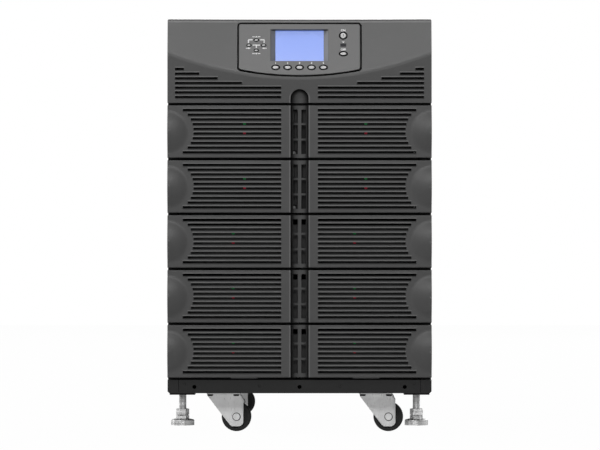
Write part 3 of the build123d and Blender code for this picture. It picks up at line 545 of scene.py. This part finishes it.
def powder_coat(name, level, spread, rough):
    """Powder coated sheet with an orange-peel skin and faint cloudy patches."""
    finish = Finish(name, specular_ior_level=0.2)
    patches = finish.noise(0.09, 3.0)
    peel = finish.noise(0.0022, 2.0)
    finish.colour(finish.blend(patches, peel, 0.5), tone(level - spread), tone(level + spread))
    finish.roughness(finish.blend(patches, peel, 0.85), rough - 0.14, rough + 0.1)
    finish.relief(peel, 0.0002)
    return finish.material


def plated_steel(name, level, spread):
    """Zinc plated steel with soft upright draw marks and a faint spangle."""
    finish = Finish(name, metallic=0.25)
    spangle = finish.cells(0.005)
    draw = finish.noise(0.013, 2.0, (1, 1, 9))
    scratch = finish.noise(0.0012, 3.0, (1, 1, 7))
    fine = finish.blend(spangle, scratch, 0.85)
    finish.colour(finish.blend(draw, fine, 0.25), tone(level - spread), tone(level + spread))
    finish.roughness(scratch, 0.26, 0.42)
    finish.relief(scratch, 0.00002)
    return finish.material


def threaded_steel(name, level, spread):
    """Turned and plated steel: bright and dull streaks and turning marks over the fine rings of a thread."""
    finish = Finish(name, metallic=0.4)
    thread = finish.bands(0.00125, "Z")
    streaks = finish.noise(0.0065, 1.0, (1, 1, 14))
    turning = finish.noise(0.0042, 1.0, (12, 12, 1))
    marks = finish.blend(streaks, turning, 0.55)
    finish.colour(finish.blend(marks, thread, 0.18), tone(level - spread), tone(level + spread))
    finish.roughness(streaks, 0.24, 0.42)
    finish.relief(thread, 0.00012)
    return finish.material


def blackened_steel(name, level):
    """Black oxide steel with a slightly greasy, uneven sheen."""
    finish = Finish(name, specular_ior_level=0.14)
    blotches = finish.noise(0.007, 4.0)
    finish.colour(blotches, tone(level - 6), tone(level + 8))
    finish.roughness(blotches, 0.34, 0.52)
    finish.relief(finish.noise(0.0006, 2.0), 0.00003)
    return finish.material


def wheel_rubber(name, level):
    """Hard rubber tread with dust in its grain."""
    finish = Finish(name, specular_ior_level=0.25)
    dust = finish.noise(0.011, 4.0)
    grain = finish.noise(0.0007, 2.0)
    finish.colour(finish.blend(dust, grain, 0.4), tone(level - 9), tone(level + 10))
    finish.roughness(dust, 0.55, 0.78)
    finish.relief(grain, 0.00008)
    return finish.material


def dull_rubber(name, level):
    """Soft black rubber that takes almost no sheen."""
    finish = Finish(name, specular_ior_level=0.1)
    cloud = finish.noise(0.004, 3.0)
    finish.colour(cloud, tone(level - 5), tone(level + 6))
    finish.roughness(cloud, 0.6, 0.8)
    finish.relief(finish.noise(0.0006, 2.0), 0.00005)
    return finish.material


def key_rubber(name, level):
    """Pale silicone key with a soft bloom."""
    finish = Finish(name, specular_ior_level=0.35, sheen_weight=0.08)
    bloom = finish.noise(0.0035, 3.0)
    finish.colour(bloom, tone(level - 7), tone(level + 7))
    finish.roughness(bloom, 0.42, 0.58)
    finish.relief(finish.noise(0.0004, 2.0), 0.00002)
    return finish.material


def screen_glass(name, colour_dark, colour_light):
    """Lit liquid crystal behind a glossy window, with its grid of dots."""
    gloss = {"coat_weight": 0.5, "coat_roughness": 0.06, "specular_ior_level": 0.3}
    finish = Finish(name, emission_strength=0.65, **gloss)
    columns = finish.bands(0.0006, "X")
    lines = finish.bands(0.0006, "Z")
    cloud = finish.noise(0.05, 2.0)
    pattern = finish.blend(finish.blend(columns, lines, 0.5), cloud, 0.2)
    shade = finish.colour(pattern, colour_dark, colour_light, 0.2, 0.6)
    finish.links.new(shade, finish.shader.inputs["Emission Color"])
    finish.roughness(cloud, 0.22, 0.32)
    return finish.material


def lens_plastic(name, colour_dark, colour_light, glow):
    """Clear tinted lens, faintly ribbed, with a glow where a light is lit behind it."""
    finish = Finish(name, specular_ior_level=0.15, emission_strength=glow)
    ribs = finish.bands(0.0017, "Z")
    cloud = finish.noise(0.002, 2.0)
    shade = finish.colour(finish.blend(ribs, cloud, 0.5), colour_dark, colour_light)
    if glow > 0:
        finish.links.new(shade, finish.shader.inputs["Emission Color"])
    finish.roughness(cloud, 0.42, 0.58)
    finish.relief(ribs, 0.00005)
    return finish.material


def screen_ink(name, level):
    """Printed ink, thinner in places."""
    finish = Finish(name, specular_ior_level=0.3)
    wear = finish.noise(0.0012, 3.0)
    finish.colour(wear, tone(level - 14), tone(level + 6))
    finish.roughness(wear, 0.5, 0.66)
    return finish.material


bezel_plastic = moulded_plastic("bezel_finish", 70, 3, 0.38, 0.46, 0.36, lips=row_lips)
head_plastic = moulded_plastic("head_finish", 69, 3, 0.30, 0.38, 0.36, lips=head_lips)
panel_plastic = moulded_plastic("panel_finish", 112, 3, 0.34, 0.44, 0.30, windowed=True)
screen = screen_glass("screen_finish", tone(109, 132, 199), tone(116, 139, 208))
rubber_keys = key_rubber("key_finish", 218)
skirt_rubber = dull_rubber("skirt_finish", 12)
dark_lens = lens_plastic("lens_finish", tone(16, 16, 18), tone(66, 66, 70), 0.0)
green_light = lens_plastic("green_light_finish", tone(18, 76, 40), tone(34, 108, 58), 0.4)
red_light = lens_plastic("red_light_finish", tone(108, 24, 38), tone(142, 38, 52), 0.4)
power_paint = powder_coat("power_module_finish", 26, 3, 0.55)
battery_paint = powder_coat("battery_module_finish", 60, 4, 0.55)
chassis_paint = powder_coat("chassis_finish", 32, 3, 0.55)
black_steel = blackened_steel("black_steel_finish", 14)
zinc_steel = plated_steel("zinc_finish", 238, 9)
# Darker copy of the plated steel: painted shade for the module screws deep in the ladder's holes
shaded_screw_steel = plated_steel("shaded_screw_finish", 118, 14)
zinc_thread = threaded_steel("thread_finish", 158, 46)
rubber_tread = wheel_rubber("tread_finish", 34)
gland_rubber = dull_rubber("gland_finish", 24)
white_ink = screen_ink("white_ink_finish", 246)
dark_ink = screen_ink("dark_ink_finish", 60)

# The finish of each kind of node, by the words in its name
NODE_FINISHES = (
    ("row_bezel", bezel_plastic),
    ("control_bezel", head_plastic),
    ("control_panel", panel_plastic),
    ("display_screen", screen),
    ("_key", rubber_keys),
    ("status_lens", dark_lens),
    ("green_status_lights", green_light),
    ("red_status_lights", red_light),
    ("power_module", power_paint),
    ("battery_module", battery_paint),
    ("cable_glands", gland_rubber),
    ("foot_plates", black_steel),
    ("levelling_foot", zinc_thread),
    ("caster_plates", zinc_steel),
    ("caster_fork", zinc_steel),
    ("caster_wheel", rubber_tread),
)


def finish_of(node):
    """The finish for a node's name; the sheet metal of the chassis takes what is left."""
    for words, material in NODE_FINISHES:
        if words in node:
            return material
    return chassis_paint


for node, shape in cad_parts.items():
    shape.data.materials.clear()
    shape.data.materials.append(finish_of(node))


def new_piece(name, form, material, body):
    """A finished mesh as an object of the scene that rides on a body and takes a slot's finish."""
    mesh = bpy.data.meshes.new(name)
    bmesh.ops.recalc_face_normals(form, faces=form.faces)
    form.to_mesh(mesh)
    form.free()
    mesh.materials.append(material)
    mesh.polygons.foreach_set("use_smooth", [True] * len(mesh.polygons))
    mesh.set_sharp_from_angle(angle=SHARP_ANGLE)
    piece = bpy.data.objects.new(name, mesh)
    bpy.context.scene.collection.objects.link(piece)
    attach(piece, body)
    return piece


def bridge(form, loops):
    """Join each loop of points to the next one with a strip of faces."""
    for lower, upper in zip(loops, loops[1:]):
        for step in range(len(lower)):
            ahead = (step + 1) % len(lower)
            form.faces.new((lower[step], lower[ahead], upper[ahead], upper[step]))


def closed_form(form, loops):
    """Add a form that is skinned over its loops and closed at both ends."""
    bridge(form, loops)
    form.faces.new(loops[0])
    form.faces.new(loops[-1])


def ring_stack(form, place, axis, rings):
    """Add a closed turned form of rings about an axis."""
    turn = Vector(UP).rotation_difference(Vector(axis)).to_matrix()
    loops = []
    for radius, height, hexagonal in rings:
        loop = []
        for angle in ROUND_ANGLES:
            reach = radius
            if hexagonal:
                reach = radius / cos(angle % (pi / 3) - pi / 6)
            point = Vector((reach * cos(angle), reach * sin(angle), height))
            loop.append(form.verts.new(Vector(place) + turn @ point))
        loops.append(loop)
    closed_form(form, loops)


def pan_screw(form, place, axis, radius):
    """Round screw head with a hexagon socket."""
    rings = [(radius * share, radius * rise, hexagonal) for share, rise, hexagonal in SCREW_RING_SHARES]
    ring_stack(form, place, axis, rings)


def panel_point(across, drop, lift):
    """Point of the control panel at a distance across and down from the top, lifted off its face."""
    rise = (TOP - drop - PANEL_MIDDLE_Z) / cos(PANEL_TILT)
    return Vector((across, PANEL_Y, PANEL_MIDDLE_Z)) + PANEL_UP * rise + PANEL_NORMAL * lift


def ink_patch(form, corners):
    """Thin printed patch with the given corners on the control panel, each across and drop."""
    loops = []
    for lift in (INK_LIFT, INK_LIFT + INK_THICKNESS):
        loops.append([form.verts.new(panel_point(across, drop, lift)) for across, drop in corners])
    closed_form(form, loops)


def ink_bar(form, across, drop, width, height):
    """Printed bar about a middle."""
    left = across - width / 2
    right = across + width / 2
    upper = drop - height / 2
    lower = drop + height / 2
    ink_patch(form, ((left, lower), (right, lower), (right, upper), (left, upper)))


def ink_arrow(form, across, drop, size, turn):
    """Printed arrow head; a turn of 0 points up and each step turns it a quarter to the right."""
    quarter = turn * pi / 2
    base, reach = size if turn % 2 == 0 else reversed(size)
    corners = []
    for side, ahead in ((-0.5, -0.5), (0.5, -0.5), (0.0, 0.5)):
        step_side = side * base
        step_ahead = ahead * reach
        corners.append((across + step_side * cos(quarter) + step_ahead * sin(quarter),
                        drop + step_side * sin(quarter) - step_ahead * cos(quarter)))
    ink_patch(form, corners)


def ink_words(name, words, across, drop, height, lift, material):
    """Printed words or figures about a middle, as a mesh on the control panel."""
    text = bpy.data.curves.new(name, "FONT")
    text.body = words
    text.size = height / CAPITAL_SHARE
    text.align_x = "CENTER"
    text.align_y = "CENTER"
    text.extrude = INK_THICKNESS / 2
    text.offset = INK_SPREAD * height
    writer = bpy.data.objects.new(name, text)
    mesh = bpy.data.meshes.new_from_object(writer)
    bpy.data.objects.remove(writer)
    middle = panel_point(across, drop, lift + INK_THICKNESS / 2)
    for vertex in mesh.vertices:
        flat = vertex.co.copy()
        vertex.co = middle + Vector((flat.x, 0, 0)) + PANEL_UP * flat.y + PANEL_NORMAL * flat.z
    mesh.materials.clear()
    mesh.materials.append(material)
    piece = bpy.data.objects.new(name, mesh)
    bpy.context.scene.collection.objects.link(piece)
    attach(piece, "cabinet")
    return piece


def key_places():
    """Middle, across and down, size and ring of each key."""
    places = [(across, SOFT_KEY_DROP, SOFT_KEY_SIZE, KEY_RING) for across in SOFT_KEY_XS]
    for step_x, step_up in ((0, 1), (-1, 0), (1, 0), (0, -1)):
        across = NAV_X + step_x * NAV_REACH[0]
        drop = NAV_DROP - step_up * NAV_REACH[1]
        places.append((across, drop, NAV_KEY_SIZE, NAV_KEY_RING))
    places.append((POWER_X, START_KEY_DROP, START_KEY_SIZE, KEY_RING))
    places.append((POWER_X, STOP_KEY_DROP, STOP_KEY_SIZE, KEY_RING))
    return places


def key_skirts():
    """Dark rubber skirts that fill the dished seats round the keys."""
    form = bmesh.new()
    for across, drop, size, ring in key_places():
        loops = []
        for share, lift in SKIRT_SECTION:
            width = share * (ring - SKIRT_CLEARANCE)
            half_width = size[0] / 2 + width + SKIRT_CLEARANCE
            half_height = size[1] / 2 + SKIRT_LOWNESS * width + SKIRT_CLEARANCE
            middle = panel_point(across, drop, lift)
            loop = []
            for angle in ROUND_ANGLES:
                offset = Vector((half_width * cos(angle), 0, 0)) + PANEL_UP * half_height * sin(angle)
                loop.append(form.verts.new(middle + offset))
            loops.append(loop)
        bridge(form, loops + loops[:1])
    return new_piece("key_skirts", form, skirt_rubber, "cabinet")


def panel_marks():
    """Printed brackets, arrows and bars round the navigation keys and the status lens."""
    form = bmesh.new()
    for side in BOTH_WAYS:
        for across, drop, width, height in PAIRED_BARS:
            ink_bar(form, NAV_X + side * across, NAV_DROP + drop, width, height)
        across, drop = SIDE_ARROW_PLACE
        ink_arrow(form, NAV_X + side * across, NAV_DROP + drop, SIDE_ARROW_SIZE, 2 + side)
    for drop, width, height in MIDDLE_BARS:
        ink_bar(form, NAV_X, NAV_DROP + drop, width, height)
    ink_arrow(form, NAV_X, NAV_DROP + UPPER_ARROW_DROP, NAV_ARROW_SIZE, 0)
    ink_arrow(form, NAV_X, NAV_DROP + LOWER_ARROW_DROP, NAV_ARROW_SIZE, 2)
    ink_arrow(form, POWER_X, LENS_DROP - LENS_ARROW_RISE, LENS_ARROW_SIZE, 2)
    return new_piece("panel_marks", form, white_ink, "cabinet")


def panel_words():
    """Figures over the soft keys, and the words over the start and stop keys."""
    for place, across in enumerate(SOFT_KEY_XS):
        figure = str(place + 1)
        drop = SOFT_KEY_DROP - SOFT_FIGURE_RISE
        ink_words(f"soft_key_figure_{figure}", figure, across, drop, SOFT_FIGURE_HEIGHT, INK_LIFT, white_ink)
    ink_words("start_word", "ON", POWER_X, START_KEY_DROP - START_WORD_RISE, WORD_HEIGHT, INK_LIFT, white_ink)
    ink_words("stop_word", "OFF", POWER_X, STOP_KEY_DROP - STOP_WORD_RISE, WORD_HEIGHT, INK_LIFT, white_ink)
    key_lift = KEY_PROUD + INK_LIFT
    ink_words("start_figure", "I", POWER_X, START_KEY_DROP, START_FIGURE_HEIGHT, key_lift, dark_ink)


def casters():
    """Name and middle, across and along, of each caster."""
    places = []
    for end, along in CASTER_YS:
        for side_name, side in SIDES:
            places.append((f"{end}_{side_name}", side * CASTER_X, along))
    return places


def caster_bolts():
    """Four flanged hexagon bolts up through each caster's plate into the base."""
    for caster, middle_x, middle_y in casters():
        form = bmesh.new()
        for step_x in BOTH_WAYS:
            for step_y in BOTH_WAYS:
                across = middle_x + step_x * CASTER_BOLT_REACH[0]
                along = middle_y + step_y * CASTER_BOLT_REACH[1]
                ring_stack(form, (across, along, CASTER_PLATE_LOW), DOWN, BOLT_RINGS)
        new_piece(f"{caster}_caster_bolts", form, black_steel, "cabinet")


def axle_shadow_rings():
    """Dark ring round either head of each caster's axle, a painted shadow of the groove there."""
    for caster, middle_x, middle_y in casters():
        form = bmesh.new()
        for face in BOTH_WAYS:
            place = (middle_x + AXLE_TRAIL, middle_y + face * AXLE_SHADOW_RING_REACH, AXLE_Z)
            ring_stack(form, place, (0, face, 0), AXLE_SHADOW_RINGS)
        new_piece(f"{caster}_axle_shadow_rings", form, black_steel, f"{caster}_fork")


def foot_shade_and_seam_rings():
    """Dark ring on the pad under the lock nut of either foot, a painted shade of the pad's top edge, and a
    dark seam between its two nuts.
    """
    for side_name, side in SIDES:
        form = bmesh.new()
        ring_stack(form, (side * FOOT_X, FOOT_Y, FOOT_PAD_TOP), UP, PAD_SHADE_RINGS)
        ring_stack(form, (side * FOOT_X, FOOT_Y, FOOT_NUT_SEAM), UP, NUT_WASHER_RINGS)
        new_piece(f"{side_name}_foot_shade_and_seam_rings", form, black_steel, f"{side_name}_foot")


def latch_plate(form, left, right, low, high, stand_out):
    """Low plate with bevelled edges on a module's front."""
    loops = []
    for inset, lift in ((0.0, 0.0), (0.0, stand_out - LATCH_BEVEL), (LATCH_BEVEL, stand_out)):
        corners = ((left + inset, low + inset), (right - inset, low + inset),
                   (right - inset, high - inset), (left + inset, high - inset))
        loops.append([form.verts.new((across, MODULE_FRONT_Y - lift, height)) for across, height in corners])
    closed_form(form, loops)


def module_latches():
    """Catches of the power modules, which show through the ladder of holes."""
    form = bmesh.new()
    for height in MODULE_SCREW_ZS:
        for left, right, low, high, stand_out in LATCH_PLATES:
            latch_plate(form, left, right, height + low, height + high, stand_out)
    new_piece("module_latches", form, battery_paint, "cabinet")


def module_screws():
    """Screws that hold the power modules, painted darker as the shade of the holes they sit in."""
    form = bmesh.new()
    for height in MODULE_SCREW_ZS:
        for across in MODULE_SCREW_XS:
            pan_screw(form, (across, MODULE_FRONT_Y, height), FORWARD, MODULE_SCREW_RADIUS)
    new_piece("module_screws", form, shaded_screw_steel, "cabinet")


def cable_plate_screws():
    """Screws round the cable plate at the rear."""
    form = bmesh.new()
    for rise in CABLE_SCREW_RISES:
        for side in BOTH_WAYS:
            place = (side * CABLE_SCREW_X, CABLE_PLATE_Y, CABLE_PLATE_Z + rise)
            pan_screw(form, place, BACKWARD, CABLE_SCREW_RADIUS)
    new_piece("cable_plate_screws", form, black_steel, "cabinet")


def rail_rivets():
    """Painted rivets of the front rail."""
    form = bmesh.new()
    for across, height in RAIL_RIVETS:
        for side in BOTH_WAYS:
            pan_screw(form, (side * across, RAIL_FRONT_Y, height), FORWARD, RAIL_RIVET_RADIUS)
    new_piece("rail_rivets", form, chassis_paint, "cabinet")


key_skirts()
panel_marks()
panel_words()
caster_bolts()
axle_shadow_rings()
foot_shade_and_seam_rings()
module_latches()
module_screws()
cable_plate_screws()
rail_rivets()


def seen_directly(tree):
    """1 for what the camera, a gloss or a glass sees, and 0 for scattered light."""
    path = tree.nodes.new("ShaderNodeLightPath")
    total = path.outputs["Is Camera Ray"]
    for output in ("Is Glossy Ray", "Is Transmission Ray"):
        plus = tree.nodes.new("ShaderNodeMath")
        plus.operation = "ADD"
        plus.use_clamp = True
        tree.links.new(total, plus.inputs[0])
        tree.links.new(path.outputs[output], plus.inputs[1])
        total = plus.outputs[0]
    return total


def floor_paper():
    """Paper that looks white to the camera and still shows a faint shadow."""
    material = bpy.data.materials.new("floor_paper")
    material.use_nodes = True
    tree = material.node_tree
    tree.nodes.remove(tree.nodes["Principled BSDF"])
    paper = tree.nodes.new("ShaderNodeBsdfDiffuse")
    paper.inputs["Color"].default_value = FLOOR_GREY
    glow = tree.nodes.new("ShaderNodeEmission")
    share = tree.nodes.new("ShaderNodeMath")
    share.operation = "MULTIPLY"
    share.inputs[1].default_value = FLOOR_WHITENESS
    tree.links.new(seen_directly(tree), share.inputs[0])
    mix = tree.nodes.new("ShaderNodeMixShader")
    tree.links.new(share.outputs[0], mix.inputs[0])
    tree.links.new(paper.outputs[0], mix.inputs[1])
    tree.links.new(glow.outputs[0], mix.inputs[2])
    tree.links.new(mix.outputs[0], tree.nodes["Material Output"].inputs["Surface"])
    return material


def pale_floor():
    """Wide pale floor that keeps the object's shadow."""
    form = bmesh.new()
    bmesh.ops.create_grid(form, x_segments=FLOOR_PARTS, y_segments=FLOOR_PARTS, size=FLOOR_SIZE / 2)
    bmesh.ops.translate(form, verts=form.verts, vec=(0, 0, -FLOOR_DROP))
    mesh = bpy.data.meshes.new("floor")
    form.to_mesh(mesh)
    form.free()
    mesh.materials.append(floor_paper())
    floor = bpy.data.objects.new("floor", mesh)
    bpy.context.scene.collection.objects.link(floor)


def white_surroundings():
    """White behind the object, and a dimmer even light from all round."""
    world = bpy.data.worlds.new("surroundings")
    world.use_nodes = True
    tree = world.node_tree
    ambient = tree.nodes["Background"]
    ambient.inputs["Color"].default_value = WHITE
    ambient.inputs["Strength"].default_value = AMBIENT
    white = tree.nodes.new("ShaderNodeBackground")
    white.inputs["Color"].default_value = WHITE
    white.inputs["Strength"].default_value = 1.0
    mix = tree.nodes.new("ShaderNodeMixShader")
    tree.links.new(seen_directly(tree), mix.inputs[0])
    tree.links.new(ambient.outputs[0], mix.inputs[1])
    tree.links.new(white.outputs[0], mix.inputs[2])
    tree.links.new(mix.outputs[0], tree.nodes["World Output"].inputs["Surface"])
    bpy.context.scene.world = world


def studio_lamps():
    """Large soft lamps."""
    for name, place, aim, width, height, watts in LAMPS:
        lamp = bpy.data.lights.new(name, "AREA")
        lamp.shape = "RECTANGLE"
        lamp.size = width
        lamp.size_y = height
        lamp.energy = watts
        stand = bpy.data.objects.new(name, lamp)
        stand.location = place
        stand.rotation_euler = (Vector(aim) - Vector(place)).to_track_quat("-Z", "Y").to_euler()
        bpy.context.scene.collection.objects.link(stand)


def front_camera():
    """Camera at the photograph's height and distance."""
    lens = bpy.data.cameras.new("camera")
    lens.sensor_width = CAMERA_SENSOR
    lens.sensor_fit = "HORIZONTAL"
    lens.lens = CAMERA_LENS
    lens.clip_end = CAMERA_FAR
    camera = bpy.data.objects.new("camera", lens)
    camera.location = CAMERA_PLACE
    camera.rotation_euler = (pi / 2, 0, 0)
    bpy.context.scene.collection.objects.link(camera)
    bpy.context.scene.camera = camera


pale_floor()
white_surroundings()
studio_lamps()
front_camera()
bpy.context.scene.view_settings.view_transform = "Standard"
